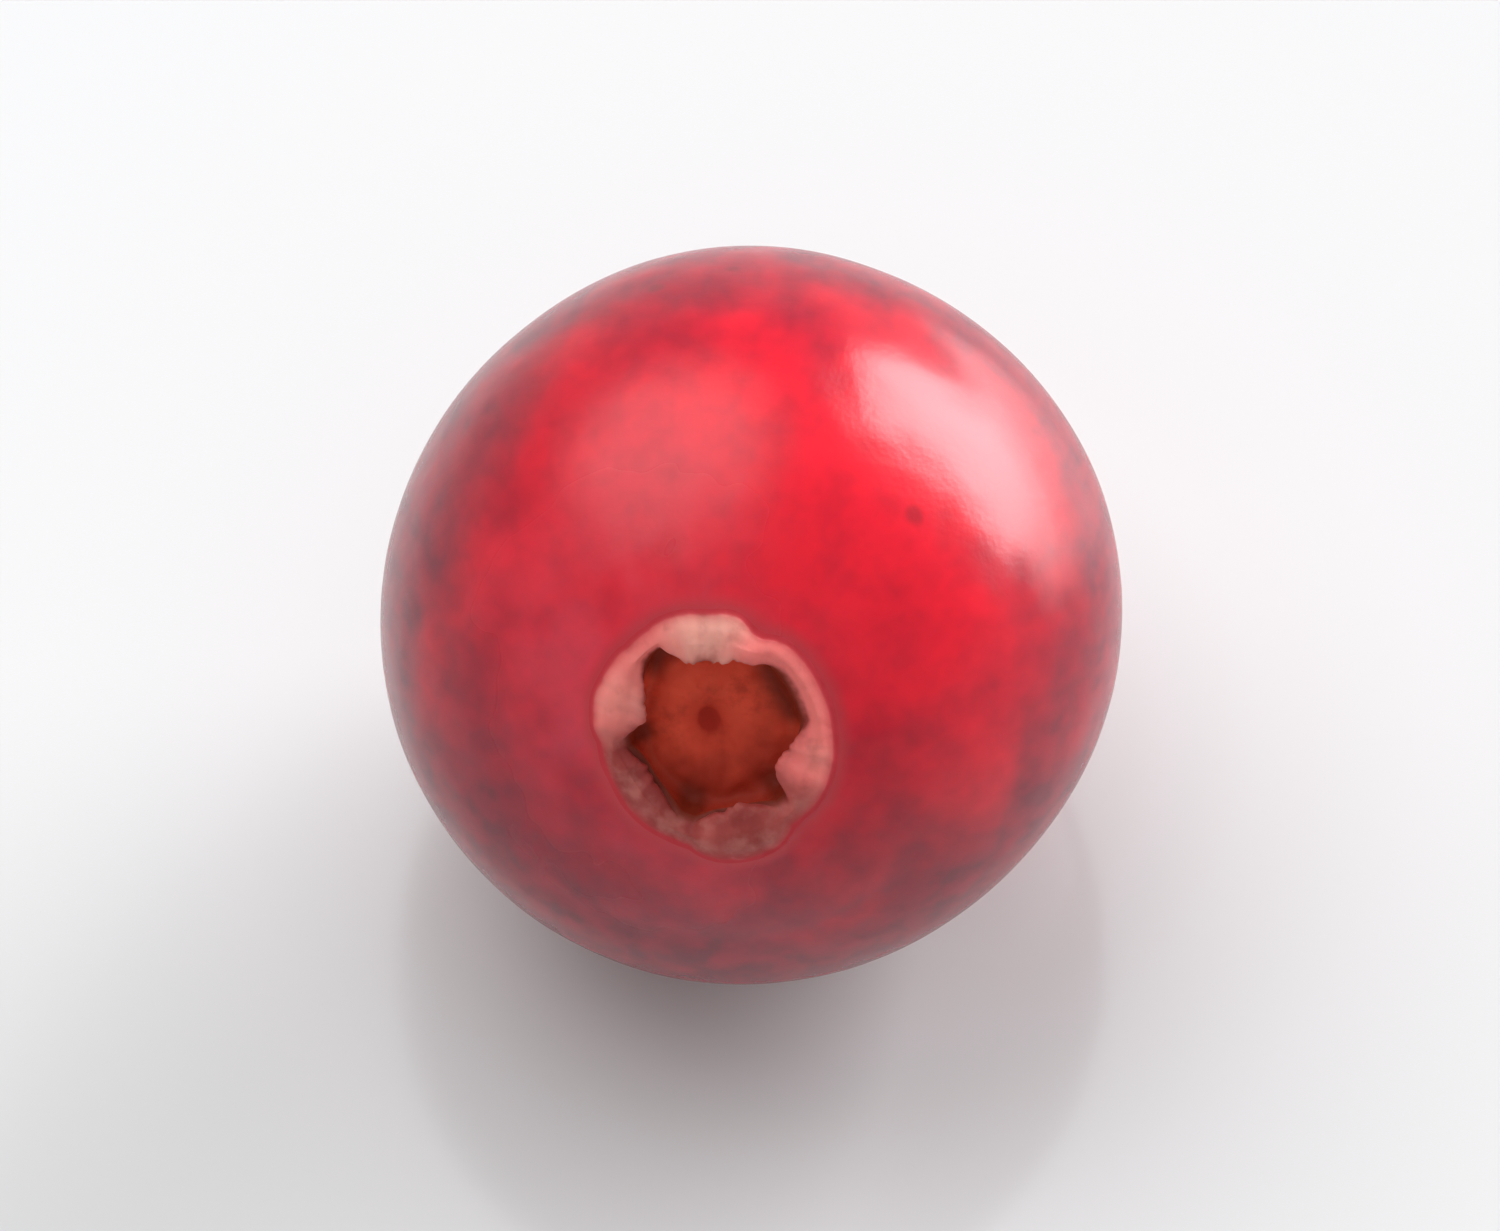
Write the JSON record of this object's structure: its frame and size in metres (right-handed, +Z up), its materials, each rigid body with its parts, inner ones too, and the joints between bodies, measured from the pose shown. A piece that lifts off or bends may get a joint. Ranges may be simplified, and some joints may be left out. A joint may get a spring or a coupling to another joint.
{
  "type": "cranberry",
  "caption": "Fresh ripe red cranberry with a star-shaped calyx, lying with its calyx end up and forward on a small flat spot.",
  "frame": {"origin": "middle of the flat spot that the berry rests on, under its weight", "axes": "+Z up, -Y towards the viewer: the calyx end faces -Y and leans 42 degrees up, a little towards -X, and the stem end is behind and low"},
  "size_m": [0.0171, 0.0171, 0.0169],
  "materials": {
    "cranberry_skin": "smooth waxy fruit skin, bright cherry red over crimson, with pale pink calyx lobes round a rust brown basin"
  },
  "bodies": {
    "root": {"cranberry": "cranberry_skin"}
  },
  "joints": []
}
